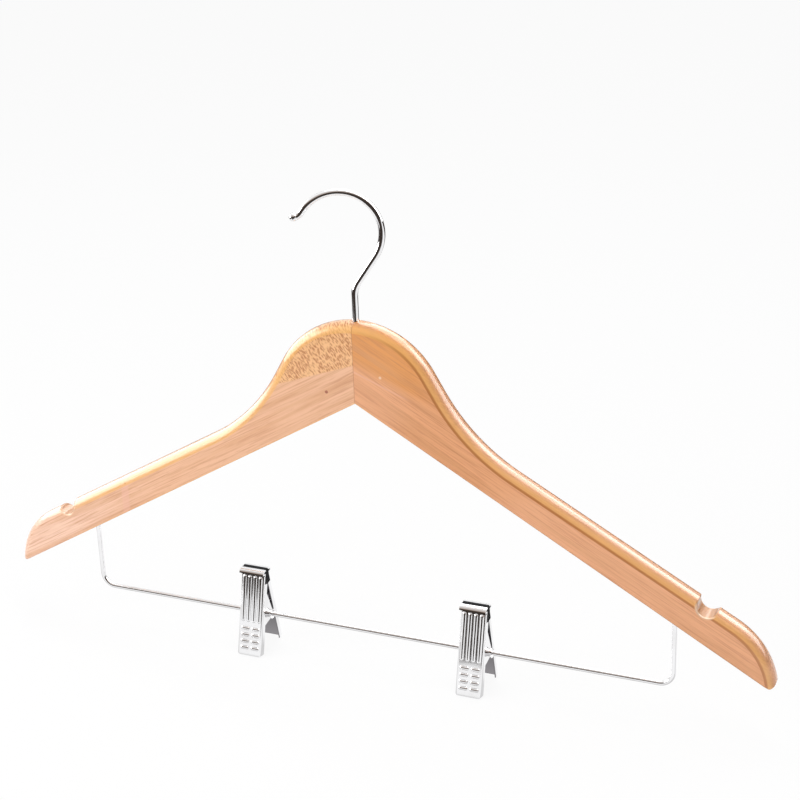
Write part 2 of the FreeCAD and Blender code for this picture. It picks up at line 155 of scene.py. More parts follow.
# What marks add to the roughness, and the depth and shine of fine surfaces.
STREAK_ROUGHNESS = 0.12
PLAIN_STREAK_ROUGHNESS = 0.2
PLAIN_ROUGHNESS = 0.5
SMUDGE_ROUGHNESS = 0.04
SHEET_SMUDGE_ROUGHNESS = 0.03
PLATE_INSIDE_ROUGHNESS = 0.12
DUST_ROUGHNESS = 0.15
GRAIN_DEPTH = 0.02 * MM
PAD_SKIN_DEPTH = 0.03 * MM
PAD_SHINE = 0.1

# The view: where the camera stands round the hanger and what it looks at.
VIEW_AZIMUTH = math.radians(23.53)
VIEW_ELEVATION = math.radians(21.33)
VIEW_ROLL = math.radians(-2.025)
VIEW_DISTANCE = 877.3 * MM
VIEW_AIM = Vector((23.3, 0.0, -106.4)) * MM
SENSOR_W = 36.0

# The lit paper as polished metal mirrors it, in metres: whole near the hanger, ended some way behind it,
# and with one strip that runs out to the front left.
PAPER_WAY = Vector((-0.35, -0.937, 0.0))
PAPER_NEAR = 0.225
PAPER_FAR = 0.55
PAPER_BACK = 0.4
PAPER_STRIP_MIDDLE = -0.108
PAPER_STRIP_HALF = 0.108
PAPER_FADE = 0.015
PAPER_END_FADE = 1.15
SHADOW_MIDDLE = -0.01
SHADOW_HALF = 0.025
SHADOW_CORE = 0.4
METAL_GAIN = 0.06
FLOOR_REACH = 40.0
FLOOR_GAP = 0.3 * MM
WHITE = (1.0, 1.0, 1.0, 1.0)

# Directions in which polished metal mirrors an unlit studio, as steps on x, y or z of the way there.
CAMERA_SIDE_SLANT = 0.7
CAMERA_SIDE_STEP = (-0.05, 0.25)
LAMP_RIGHT_STEP = (-0.72, -0.58)
BELOW_TOP_STEP = (0.95, 0.8)
BACK_STEP = (0.3, 0.5)
BACK_RIGHT_STEP = (-0.25, -0.1)
BACK_LOW_STEP = (0.4, 0.25)
WARM_WALL_STEP = (0.25, 0.5)
HIGH_WALL_STEP = (0.42, 0.62)

# Lamps, and the cards that only polished surfaces mirror: place, width and height in metres.
KEY_SOFTBOX = (Vector((-0.8, -0.95, 0.45)), 1.5, 0.95)
TOP_SOFTBOX = (Vector((0.1, 0.12, 1.0)), 1.6, 0.28)
CARDS = {
    "top_card": (Vector((0.3, 0.65, 1.0)), 2.0, 1.4),
    "right_card": (Vector((0.95, 0.5, 0.45)), 1.1, 1.0),
    "left_card": (Vector((-1.0, -0.1, 0.2)), 1.5, 0.6),
}

# Sockets of the colour Mix node, which has several of the same name.
MIX_A = 6
MIX_B = 7
MIX_RESULT = 2


class Tree:
    """Adds and joins the nodes of one material, group or world."""

    def __init__(self, tree):
        self.tree = tree

    def add(self, kind, inputs=None, **options):
        """Adds a node, sets its options and feeds its inputs."""
        node = self.tree.nodes.new(kind)
        for option, value in options.items():
            setattr(node, option, value)
        for key, value in (inputs or {}).items():
            self.feed(node.inputs[key], value)
        return node

    def feed(self, socket, value):
        """Links an input to another node's output, or sets it to a plain value."""
        if isinstance(value, bpy.types.NodeSocket):
            self.tree.links.new(value, socket)
        else:
            socket.default_value = value

    def math(self, operation, *values):
        """The result of one sum on one, two or three values."""
        return self.add("ShaderNodeMath", dict(enumerate(values)), operation=operation).outputs[0]

    def step(self, value, start, end):
        """0 up to start and 1 beyond end, smooth between them; start may be the higher."""
        inputs = {"Value": value, "From Min": start, "From Max": end}
        node = self.add("ShaderNodeMapRange", inputs, interpolation_type="SMOOTHSTEP")
        return node.outputs["Result"]

    def mix(self, factor, first, second):
        """The first colour where the factor is 0 and the second where it is 1."""
        inputs = {0: factor, MIX_A: first, MIX_B: second}
        return self.add("ShaderNodeMix", inputs, data_type="RGBA").outputs[MIX_RESULT]

    def axes(self, vector):
        """The x, y and z of a vector."""
        return self.add("ShaderNodeSeparateXYZ", {"Vector": vector}).outputs

    def vector(self, x, y, z):
        """A vector from its x, y and z."""
        return self.add("ShaderNodeCombineXYZ", {"X": x, "Y": y, "Z": z}).outputs[0]

    def noise(self, vector, scale, detail, roughness):
        """Cloudy values from 0 to 1."""
        inputs = {"Vector": vector, "Scale": scale, "Detail": detail, "Roughness": roughness}
        return self.add("ShaderNodeTexNoise", inputs).outputs["Fac"]

    def group(self, name, inputs):
        """Places a shared node group and gives its outputs."""
        node = self.add("ShaderNodeGroup", node_tree=bpy.data.node_groups[name])
        for key, value in inputs.items():
            self.feed(node.inputs[key], value)
        return node.outputs

    def object_point(self):
        """The point on the piece, in the hanger's own frame and in metres."""
        return self.add("ShaderNodeTexCoord").outputs["Object"]


def rgba(colour):
    """A colour socket's four values."""
    return (colour[0], colour[1], colour[2], 1.0)


def new_group(name, inputs, outputs):
    """An empty shader node group with named sockets, its tree, input outputs and output inputs."""
    tree = bpy.data.node_groups.new(name, "ShaderNodeTree")
    for label, kind in inputs.items():
        tree.interface.new_socket(label, in_out="INPUT", socket_type=kind)
    for label in outputs:
        tree.interface.new_socket(label, in_out="OUTPUT", socket_type="NodeSocketFloat")
    given = tree.nodes.new("NodeGroupInput").outputs
    result = tree.nodes.new("NodeGroupOutput").inputs
    return Tree(tree), given, result


def build_grain_group():
    """Wood grain that runs along a slope: fine streaks, broad tone bands and short pores."""
    inputs = {
        "Point": "NodeSocketVector",
        "Slope": "NodeSocketFloat",
        "Length": "NodeSocketFloat",
        "Pitch": "NodeSocketFloat",
        "Shift": "NodeSocketFloat",
    }
    tree, given, result = new_group("hanger_grain", inputs, ("Streak", "Tone", "Pore"))
    turn = {"Vector": given["Point"], "Angle": given["Slope"]}
    turned = tree.add("ShaderNodeVectorRotate", turn, rotation_type="Y_AXIS").outputs[0]
    along, through, across = tree.axes(turned)
    run = tree.math("DIVIDE", along, given["Length"])
    row = tree.math("DIVIDE", across, given["Pitch"])
    layer = tree.math("DIVIDE", through, given["Pitch"])
    shifted_run = tree.math("ADD", run, given["Shift"])
    shifted_row = tree.math("ADD", row, given["Shift"])
    fibre = tree.vector(shifted_run, layer, shifted_row)
    tree.feed(result["Streak"], tree.noise(fibre, *STREAK_NOISE))
    band_layer = tree.math("MULTIPLY", layer, BAND_LAYER)
    band_row = tree.math("MULTIPLY", shifted_row, BAND_ROW)
    band = tree.vector(shifted_run, band_layer, band_row)
    tree.feed(result["Tone"], tree.noise(band, *TONE_NOISE))
    pore_run = tree.math("MULTIPLY", shifted_run, PORE_RUN)
    pore_row = tree.math("MULTIPLY", shifted_row, PORE_ROW)
    short = tree.vector(pore_run, layer, pore_row)
    tree.feed(result["Pore"], tree.step(tree.noise(short, *PORE_NOISE), *PORE_STEP))


def build_fleck_group():
    """Short leaning dashes, as where a board is cut across its rays."""
    inputs = {
        "Point": "NodeSocketVector",
        "Slope": "NodeSocketFloat",
        "Length": "NodeSocketFloat",
        "Width": "NodeSocketFloat",
    }
    tree, given, result = new_group("hanger_flecks", inputs, ("Mask",))
    turn = {"Vector": given["Point"], "Angle": given["Slope"]}
    turned = tree.add("ShaderNodeVectorRotate", turn, rotation_type="Y_AXIS").outputs[0]
    along, through, across = tree.axes(turned)
    run = tree.math("DIVIDE", along, given["Length"])
    row = tree.math("DIVIDE", across, given["Width"])
    layer = tree.math("DIVIDE", through, given["Length"])
    cell = tree.add("ShaderNodeTexVoronoi", {"Vector": tree.vector(run, layer, row), "Scale": 1.0})
    inside = tree.step(cell.outputs["Distance"], *FLECK_STEP)
    chosen = tree.step(tree.axes(cell.outputs["Color"])[0], *FLECK_CHOICE_STEP)
    tree.feed(result["Mask"], tree.math("MULTIPLY", inside, chosen))


def build_spot_group():
    """A soft round spot that goes straight through the board."""
    inputs = {"Point": "NodeSocketVector", "Centre": "NodeSocketVector", "Radius": "NodeSocketFloat"}
    tree, given, result = new_group("hanger_spot", inputs, ("Mask",))
    away = tree.add("ShaderNodeVectorMath", {0: given["Point"], 1: given["Centre"]}, operation="SUBTRACT")
    x, _, z = tree.axes(away.outputs[0])
    flat = tree.math("SQRT", tree.math("ADD", tree.math("MULTIPLY", x, x), tree.math("MULTIPLY", z, z)))
    edge = tree.math("DIVIDE", flat, given["Radius"])
    tree.feed(result["Mask"], tree.step(edge, *SPOT_STEP))


def build_above_group():
    """How far a point stands above a straight line across the board's face."""
    inputs = {"Point": "NodeSocketVector", "Start": "NodeSocketVector", "Rise": "NodeSocketFloat"}
    tree, given, result = new_group("hanger_above_line", inputs, ("Height",))
    away = tree.add("ShaderNodeVectorMath", {0: given["Point"], 1: given["Start"]}, operation="SUBTRACT")
    x, _, z = tree.axes(away.outputs[0])
    tree.feed(result["Height"], tree.math("SUBTRACT", z, tree.math("MULTIPLY", x, given["Rise"])))


def build_handling_group():
    """Faint smudges and fine rub marks left on metal by use."""
    inputs = {"Point": "NodeSocketVector", "Smudge": "NodeSocketFloat", "Rub": "NodeSocketFloat"}
    tree, given, result = new_group("hanger_handling", inputs, ("Smudge", "Rub"))
    x, y, z = tree.axes(given["Point"])
    cloud = tree.noise(given["Point"], given["Smudge"], *SMUDGE_NOISE)
    tree.feed(result["Smudge"], tree.step(cloud, *SMUDGE_STEP))
    stretched = tree.vector(tree.math("MULTIPLY", x, RUB_STRETCH), y, z)
    tree.feed(result["Rub"], tree.noise(stretched, given["Rub"], *RUB_NOISE))


def build_shared_groups():
    """Builds each shared effect once."""
    build_grain_group()
    build_fleck_group()
    build_spot_group()
    build_above_group()
    build_handling_group()


def new_material(name):
    """An empty node material, its tree and its surface shader."""
    material = bpy.data.materials.new(name)
    material.use_nodes = True
    material.node_tree.nodes.clear()
    tree = Tree(material.node_tree)
    surface = tree.add("ShaderNodeBsdfPrincipled")
    tree.add("ShaderNodeOutputMaterial", {"Surface": surface.outputs[0]})
    return material, tree, surface


def set_bump(tree, surface, height, depth):
    """Raises the surface by a height from 0 to 1, to a depth in metres."""
    bump = tree.add("ShaderNodeBump", {"Height": height, "Distance": depth, "Strength": 1.0})
    tree.feed(surface.inputs["Normal"], bump.outputs[0])


def dress(names, material):
    """Gives the named CAD nodes one finish."""
    for name in names:
        frame["nodes"][name].material_slots[0].material = material


def wood_ground(tree, point, wood, colour, slope, shift):
    """A ground colour with bands, streaks and pores of grain laid over it, and that grain."""
    inputs = {
        "Point": point,
        "Slope": slope,
        "Length": wood.grain_length,
        "Pitch": wood.grain_pitch,
        "Shift": shift,
    }
    grain = tree.group("hanger_grain", inputs)
    bands = tree.math("MULTIPLY", tree.step(grain["Tone"], *TONE_STEP), BAND_WEIGHT)
    toned = tree.mix(bands, colour, rgba(wood.band_colour))
    streaks = tree.math("MULTIPLY", tree.step(grain["Streak"], *STREAK_STEP), STREAK_WEIGHT)
    streaked = tree.mix(streaks, toned, rgba(wood.streak_colour))
    pores = tree.math("MULTIPLY", grain["Pore"], PORE_WEIGHT)
    return tree.mix(pores, streaked, rgba(wood.pore_colour)), grain


def spot(tree, point, centre, radius):
    """The mask of one knot or speck."""
    inputs = {"Point": point, "Centre": centre, "Radius": radius}
    return tree.group("hanger_spot", inputs)["Mask"]


def above_line(tree, point, start, end):
    """How far a point stands above the line from start to end."""
    rise = (end.z - start.z) / (end.x - start.x)
    return tree.group("hanger_above_line", {"Point": point, "Start": start, "Rise": rise})["Height"]


def left_base(tree, point, wood):
    """The left arm's ground colour, with painted light that makes it paler towards the tip."""
    x = tree.axes(point)[0]
    return tree.mix(tree.step(x, *TIP_STEP), rgba(wood.left_colour), rgba(wood.lit_tip_colour))


def right_base(tree, point, wood):
    """The right arm's ground colour, which is deeper on the head above a pale line."""
    x = tree.axes(point)[0]
    height = above_line(tree, point, PALE_LINE_START, PALE_LINE_END)
    deep = tree.math("MULTIPLY", tree.step(height, *DEEP_RISE_STEP), tree.step(x, *DEEP_END_STEP))
    return tree.mix(deep, rgba(wood.right_colour), rgba(wood.deep_colour))


def left_figure(tree, point, wood, ground):
    """The left arm's own marks: flecked head, knot and the end joint near its tip."""
    x = tree.axes(point)[0]
    height = above_line(tree, point, FLECK_EDGE_START, FLECK_EDGE_END)
    flecked = tree.step(height, *FLECK_EDGE_STEP)
    dash = {"Point": point, "Slope": FLECK_LEAN, "Length": wood.fleck_length, "Width": wood.fleck_width}
    flecks = tree.math("MULTIPLY", tree.group("hanger_flecks", dash)["Mask"], flecked)
    yellower = tree.mix(tree.math("MULTIPLY", flecked, RAY_WEIGHT), ground, rgba(wood.ray_colour))
    colour = tree.mix(tree.math("MULTIPLY", flecks, FLECK_WEIGHT), yellower, rgba(wood.fleck_colour))
    knot = spot(tree, point, LEFT_KNOT, LEFT_KNOT_R)
    colour = tree.mix(tree.math("MULTIPLY", knot, KNOT_WEIGHT), colour, rgba(wood.knot_colour))
    off_joint = tree.math("ABSOLUTE", tree.math("SUBTRACT", x, END_JOINT_X))
    joint = tree.step(off_joint, *END_JOINT_STEP)
    colour = tree.mix(tree.math("MULTIPLY", joint, END_JOINT_WEIGHT), colour, rgba(wood.joint_colour))
    dot = spot(tree, point, END_JOINT_DOT, END_JOINT_DOT_R)
    return tree.mix(tree.math("MULTIPLY", dot, DOT_WEIGHT), colour, rgba(wood.knot_colour))


def right_figure(tree, point, wood, ground):
    """The right arm's own marks: a pale line across the head and one pale speck."""
    x = tree.axes(point)[0]
    height = above_line(tree, point, PALE_LINE_START, PALE_LINE_END)
    near_line = tree.step(tree.math("ABSOLUTE", height), *PALE_LINE_STEP)
    on_head = tree.step(x, *PALE_LINE_STOP)
    line = tree.math("MULTIPLY", near_line, on_head)
    colour = tree.mix(tree.math("MULTIPLY", line, PALE_LINE_WEIGHT), ground, rgba(wood.joint_colour))
    speck = spot(tree, point, RIGHT_SPECK, RIGHT_SPECK_R)
    return tree.mix(tree.math("MULTIPLY", speck, SPECK_WEIGHT), colour, rgba(wood.pale_colour))


def edge_light_shade_and_cuts(tree, point, wood, colour, notch):
    """Rounded edges tinted yellower as painted light, a painted shaded line along the right arm's edges,
    cut notches with painted shade on their walls, and the butt line.
    """
    x, y, _ = tree.axes(point)
    depth = tree.math("SUBTRACT", BOARD_HALF, tree.math("ABSOLUTE", y))
    start = tree.step(depth, *OFF_FACE_STEP)
    # Painted light: the rounded edges are tinted yellower and brighter, as where they catch the lamps, but
    # not near the left tip.
    round_edge = tree.math("MULTIPLY", start, tree.step(depth, *ROUND_EDGE_STEP))
    off_tip = tree.math("MULTIPLY", tree.step(x, *OFF_TIP_STEP), ROUND_EDGE_WEIGHT)
    colour = tree.mix(tree.math("MULTIPLY", round_edge, off_tip), colour, rgba(wood.edge_light_colour))
    # Painted shade: a dark line where the rounded edges leave the faces, on the right arm from the head
    # outwards.
    edge_shade = tree.math("MULTIPLY", start, tree.step(depth, *EDGE_SHADE_STEP))
    far_right = tree.math("MULTIPLY", tree.step(x, *RIGHT_ARM_STEP), EDGE_SHADE_WEIGHT)
    colour = tree.mix(tree.math("MULTIPLY", edge_shade, far_right), colour, rgba(wood.edge_shade_and_joint_colour))
    cut = spot(tree, point, notch + Vector((0.0, 0.0, NOTCH_DEPTH)), NOTCH_PALE_R)
    # Painted shade: deeper inside each notch the wall is coloured darker; near the faces it is paler cut
    # wood.
    wall = tree.step(depth, *NOTCH_WALL_STEP)
    cut_colour = tree.mix(wall, rgba(wood.pale_colour), rgba(wood.notch_shade_colour))
    colour = tree.mix(tree.math("MULTIPLY", cut, NOTCH_WEIGHT), colour, cut_colour)
    butt = tree.step(tree.math("ABSOLUTE", x), *BUTT_STEP)
    return tree.mix(tree.math("MULTIPLY", butt, BUTT_WEIGHT), colour, rgba(wood.edge_shade_and_joint_colour))


def lacquered_wood(name, wood, base, slope, shift, figure, notch):
    """Clear-lacquered wood for one arm."""
    material, tree, surface = new_material(name)
    point = tree.object_point()
    ground, grain = wood_ground(tree, point, wood, base(tree, point, wood), slope, shift)
    marked = figure(tree, point, wood, ground)
    tree.feed(surface.inputs["Base Color"], edge_light_shade_and_cuts(tree, point, wood, marked, notch))
    satin = tree.math("MULTIPLY_ADD", grain["Streak"], STREAK_ROUGHNESS, wood.roughness)
    tree.feed(surface.inputs["Roughness"], satin)
    surface.inputs["Coat Weight"].default_value = wood.lacquer
    surface.inputs["Coat Roughness"].default_value = wood.lacquer_roughness
    set_bump(tree, surface, grain["Streak"], GRAIN_DEPTH)
    return material


def plain_wood(wood):
    """Unlacquered wood for the dowel inside the joint."""
    material, tree, surface = new_material("plain_wood")
    pale = rgba(wood.pale_colour)
    ground, grain = wood_ground(tree, tree.object_point(), wood, pale, 0.0, DOWEL_SHIFT)
    tree.feed(surface.inputs["Base Color"], ground)
    matt = tree.math("MULTIPLY_ADD", grain["Streak"], PLAIN_STREAK_ROUGHNESS, PLAIN_ROUGHNESS)
    tree.feed(surface.inputs["Roughness"], matt)
    return material


def handling_marks(tree):
    """The smudges and rub marks on a piece of metal."""
    inputs = {"Point": tree.object_point(), "Smudge": SMUDGE_SCALE, "Rub": RUB_SCALE}
    return tree.group("hanger_handling", inputs)


def handled_metal(name, colour, worn_colour, roughness, rub_depth):
    """Plated or drawn metal with faint smudges and rub marks."""
    material, tree, surface = new_material(name)
    handling = handling_marks(tree)
    shade = tree.math("MULTIPLY", handling["Smudge"], SMUDGE_WEIGHT)
    tree.feed(surface.inputs["Base Color"], tree.mix(shade, rgba(colour), rgba(worn_colour)))
    polish = tree.math("MULTIPLY_ADD", handling["Smudge"], SMUDGE_ROUGHNESS, roughness)
    tree.feed(surface.inputs["Roughness"], polish)
    surface.inputs["Metallic"].default_value = 1.0
    set_bump(tree, surface, handling["Rub"], rub_depth)
    return material


def pressed_sheet(name, metal, inner_way):
    """Plated sheet, bright outside; on the side that faces along inner_way through the clip it is rougher
    and painted dark as shade between the plates.
    """
    material, tree, surface = new_material(name)
    handling = handling_marks(tree)
    shade = tree.math("MULTIPLY", handling["Smudge"], SMUDGE_WEIGHT)
    bright = tree.mix(shade, rgba(metal.chrome_colour), rgba(metal.chrome_worn))
    through = tree.axes(tree.add("ShaderNodeTexCoord").outputs["Normal"])[1]
    inside = tree.step(tree.math("MULTIPLY", through, inner_way), *PLATE_INSIDE_STEP)
    # Painted shade: the inner side, between the plates, is coloured dark.
    tree.feed(surface.inputs["Base Color"], tree.mix(inside, bright, rgba(metal.inside_shade_colour)))
    polish = tree.math("MULTIPLY_ADD", handling["Smudge"], SHEET_SMUDGE_ROUGHNESS, metal.sheet_roughness)
    duller = tree.math("MULTIPLY_ADD", inside, PLATE_INSIDE_ROUGHNESS, polish)
    tree.feed(surface.inputs["Roughness"], duller)
    surface.inputs["Metallic"].default_value = 1.0
    set_bump(tree, surface, handling["Rub"], metal.rub_depth)
    return material


def moulded_pad(pads):
    """Black moulded rubber with a fine matt skin."""
    material, tree, surface = new_material("black_pad")
    point = tree.object_point()
    dusty = tree.step(tree.noise(point, *DUST_NOISE), *DUST_STEP)
    shade = tree.math("MULTIPLY", dusty, DUST_WEIGHT)
    tree.feed(surface.inputs["Base Color"], tree.mix(shade, rgba(pads.colour), rgba(pads.dust_colour)))
    matt = tree.math("MULTIPLY_ADD", dusty, DUST_ROUGHNESS, pads.roughness)
    tree.feed(surface.inputs["Roughness"], matt)
    surface.inputs["Specular IOR Level"].default_value = PAD_SHINE
    set_bump(tree, surface, tree.noise(point, *SKIN_NOISE), PAD_SKIN_DEPTH)
    return material


def colour_property(label, about, value):
    """A colour that a user would change."""
    return FloatVectorProperty(
        name=label, description=about, default=value, subtype="COLOR", size=3, min=0.0, max=1.0
    )


def length_property(label, about, value):
    """A length that a user would change, in metres."""
    return FloatProperty(
        name=label,
        description=about,
        default=value,
        subtype="DISTANCE",
        unit="LENGTH",
        min=0.0,
        precision=5,
    )


def share_property(label, about, value):
    """A share from 0 to 1 that a user would change."""
    return FloatProperty(name=label, description=about, default=value, subtype="FACTOR", min=0.0, max=1.0)


class HangerWood(bpy.types.PropertyGroup):
    """Colours and grain of the two wooden arms."""

    left_colour: colour_property("Left arm", "Ground colour of the left arm", (0.82, 0.46, 0.268))
    right_colour: colour_property("Right arm", "Ground colour of the right arm", (0.79, 0.37, 0.176))
    band_colour: colour_property("Bands", "Broad darker bands of the grain", (0.62, 0.28, 0.11))
    streak_colour: colour_property("Streaks", "Fine darker streaks of the grain", (0.50, 0.18, 0.06))
    pore_colour: colour_property("Pores", "Short dark pores", (0.50, 0.20, 0.09))
    fleck_colour: colour_property("Flecks", "Ray flecks on the left head", (0.47, 0.15, 0.03))
    knot_colour: colour_property("Knots", "Knots", (0.28, 0.05, 0.015))
    joint_colour: colour_property("End joint", "Pinker band across the left arm", (0.80, 0.42, 0.30))
    deep_colour: colour_property("Deep head", "Deeper part of the right head", (0.74, 0.30, 0.07))
    pale_colour: colour_property("Cut wood", "Pale wood in the notches", (0.86, 0.60, 0.40))
    # Painted shade on the notch walls.
    notch_shade_colour: colour_property("Notch walls", "Lacquered wood inside the notches", (0.56, 0.26, 0.09))
    # Painted shade along the right arm's edges; the same colour marks the dark butt line where the arms
    # meet.
    edge_shade_and_joint_colour: colour_property("Edges", "Deep line along the right arm's edges", (0.40, 0.11, 0.02))
    # Painted light on the rounded edges.
    edge_light_colour: colour_property("Round edges", "Yellower rounded edges", (0.88, 0.47, 0.14))
    # Painted light: the left arm's far end shown brighter.
    lit_tip_colour: colour_property("Left tip", "Paler end of the left arm", (0.90, 0.58, 0.42))
    ray_colour: colour_property("Ray cut", "Ground of the flecked left head", (0.90, 0.51, 0.21))
    grain_length: length_property("Grain length", "Length of one streak", 34.0 * MM)
    grain_pitch: length_property("Grain pitch", "Width of one streak", 0.85 * MM)
    fleck_length: length_property("Fleck length", "Length of one ray fleck", 2.4 * MM)
    fleck_width: length_property("Fleck width", "Width of one ray fleck", 0.58 * MM)
    roughness: share_property("Satin", "Roughness of the wood under the lacquer", 0.38)
    lacquer: share_property("Lacquer", "Weight of the clear lacquer", 1.0)
    lacquer_roughness: share_property("Lacquer roughness", "Roughness of the clear lacquer", 0.12)


class HangerMetal(bpy.types.PropertyGroup):
    """Colours and polish of the wires, clips, springs and bush."""

    chrome_colour: colour_property("Chrome", "Bright plating", (0.86, 0.86, 0.87))
    chrome_worn: colour_property("Worn chrome", "Plating under smudges", (0.76, 0.75, 0.75))
    # Painted shade: colour of the plates' inner sides, dark as shade between the plates; they are also
    # rougher.
    inside_shade_colour: colour_property("Plate inside", "Duller plating inside the clips", (0.26, 0.25, 0.26))
    zinc_colour: colour_property("Zinc", "Zinc plating of the bush", (0.62, 0.63, 0.66))
    spring_colour: colour_property("Spring", "Drawn spring wire", (0.52, 0.51, 0.50))
    spring_worn: colour_property("Worn spring", "Spring wire under smudges", (0.40, 0.38, 0.36))
    wire_roughness: share_property("Wire polish", "Roughness of the hook and bar", 0.08)
    sheet_roughness: share_property("Sheet polish", "Roughness of the clip plates", 0.06)
    spring_roughness: share_property("Spring polish", "Roughness of the springs", 0.25)
    rub_depth: length_property("Rub depth", "Depth of the rub marks", 0.002 * MM)


class HangerPads(bpy.types.PropertyGroup):
    """Look of the grip pads in the clips."""

    colour: colour_property("Pad", "Moulded rubber", (0.006, 0.006, 0.007))
    dust_colour: colour_property("Pad dust", "Lint caught on the rubber", (0.03, 0.029, 0.027))
    roughness: share_property("Pad roughness", "Roughness of the rubber", 0.6)


class HangerStudio(bpy.types.PropertyGroup):
    """Floor, light and lens of the studio."""

    floor_colour: colour_property("Floor", "Paper floor", (0.92, 0.92, 0.925))
    floor_glow: share_property("Floor glow", "Share of plain white in the floor that is seen", 0.91)
    under_shadow: share_property("Shadow in metal", "Depth of the hanger's shadow as metal mirrors it", 0.3)
    dark_side: colour_property("Dark side", "Low unlit part of the studio", (0.045, 0.035, 0.03))
    warm_wall: colour_property("Warm wall", "Middle of the unlit studio", (0.27, 0.19, 0.14))
    high_wall: colour_property("High wall", "Upper part of the unlit studio", (0.62, 0.57, 0.54))
    ambient: FloatProperty(
        name="Ambient", description="Even light from all round", default=0.52, min=0.0, soft_max=2.0
    )
    key_power: FloatProperty(
        name="Key light", description="Large softbox at the left", default=11.5, unit="POWER", min=0.0
    )
    top_power: FloatProperty(
        name="Top light", description="Softbox overhead", default=6.0, unit="POWER", min=0.0
    )
    card_level: FloatProperty(
        name="Cards", description="Brightness of the cards that the lacquer mirrors", default=4.2, min=0.0
    )
    lens: FloatProperty(
        name="Lens", description="Focal length", default=76.03, unit="CAMERA", min=1.0
    )


class HANGER_OT_arms(bpy.types.Operator):
    """Finish the two arms in lacquered wood"""

    bl_idname = "hanger.arms"
    bl_label = "Arms"

    def execute(self, context):
        wood = context.scene.hanger_wood
        left_notch = MOUNTS["left_strap_notch"]
        right_notch = MOUNTS["right_strap_notch"]
        left = lacquered_wood(
            "left_lacquered_wood", wood, left_base, ARM_SLOPE, LEFT_SHIFT, left_figure, left_notch
        )
        right = lacquered_wood(
            "right_lacquered_wood", wood, right_base, -ARM_SLOPE, RIGHT_SHIFT, right_figure, right_notch
        )
        dress(["left_arm"], left)
        dress(["right_arm"], right)
        return {"FINISHED"}


class HANGER_OT_joint(bpy.types.Operator):
    """Finish the hidden dowel and hook bush"""

    bl_idname = "hanger.joint"
    bl_label = "Dowel and bush"

    def execute(self, context):
        metal = context.scene.hanger_metal
        zinc = handled_metal(
            "zinc_steel", metal.zinc_colour, metal.spring_worn, metal.spring_roughness, metal.rub_depth
        )
        dress(["joint_dowel"], plain_wood(context.scene.hanger_wood))
        dress(["hook_bush"], zinc)
        return {"FINISHED"}


class HANGER_OT_wires(bpy.types.Operator):
    """Finish the hook, the trouser bar and the clip tubes in bright chrome"""

    bl_idname = "hanger.wires"
    bl_label = "Hook and bar"

    def execute(self, context):
        metal = context.scene.hanger_metal
        chrome = handled_metal(
            "chrome_wire", metal.chrome_colour, metal.chrome_worn, metal.wire_roughness, metal.rub_depth
        )
        tubes = [side + "_clip_pivot_tube" for side in CLIP_SIDES]
        dress(["hook", "trouser_bar"] + tubes, chrome)
        return {"FINISHED"}


class HANGER_OT_clips(bpy.types.Operator):
    """Finish the clip plates, springs and grip pads"""

    bl_idname = "hanger.clips"
    bl_label = "Clips"

    def execute(self, context):
        metal = context.scene.hanger_metal
        front = pressed_sheet("chrome_front_sheet", metal, 1.0)
        back = pressed_sheet("chrome_back_sheet", metal, -1.0)
        steel = handled_metal(
            "spring_wire", metal.spring_colour, metal.spring_worn, metal.spring_roughness, metal.rub_depth
        )
        rubber = moulded_pad(context.scene.hanger_pads)
        for side in CLIP_SIDES:
            dress([side + "_clip_front_plate"], front)
            dress([side + "_clip_back_plate"], back)
            dress([side + "_clip_front_pad", side + "_clip_back_pad"], rubber)
            dress([side + "_clip_spring"], steel)
        return {"FINISHED"}


def seen_directly(tree):
    """1 for rays from the camera, off polished surfaces or through glass, and 0 for others."""
    path = tree.add("ShaderNodeLightPath").outputs
    bright = tree.math("MAXIMUM", path["Is Camera Ray"], path["Is Glossy Ray"])
    return tree.math("MAXIMUM", bright, path["Is Transmission Ray"])


def past_paper(tree):
    """1 on the floor that is off the lit paper, and 0 on the paper."""
    x, y, _ = tree.axes(tree.object_point())
    out = tree.math("MULTIPLY_ADD", x, PAPER_WAY.x, tree.math("MULTIPLY", y, PAPER_WAY.y))
    across = tree.math("MULTIPLY_ADD", y, PAPER_WAY.x, tree.math("MULTIPLY", x, -PAPER_WAY.y))
    off_middle = tree.math("ABSOLUTE", tree.math("SUBTRACT", across, PAPER_STRIP_MIDDLE))
    beside = tree.step(off_middle, PAPER_STRIP_HALF, PAPER_STRIP_HALF + PAPER_FADE)
    off_strip = tree.math("MULTIPLY", beside, tree.step(out, PAPER_NEAR, PAPER_NEAR + PAPER_FADE))
    past_back = tree.step(y, PAPER_BACK, PAPER_BACK * PAPER_END_FADE)
    past_far = tree.step(out, PAPER_FAR, PAPER_FAR * PAPER_END_FADE)
    past_ends = tree.math("MAXIMUM", past_far, past_back)
    return tree.math("MAXIMUM", off_strip, past_ends)


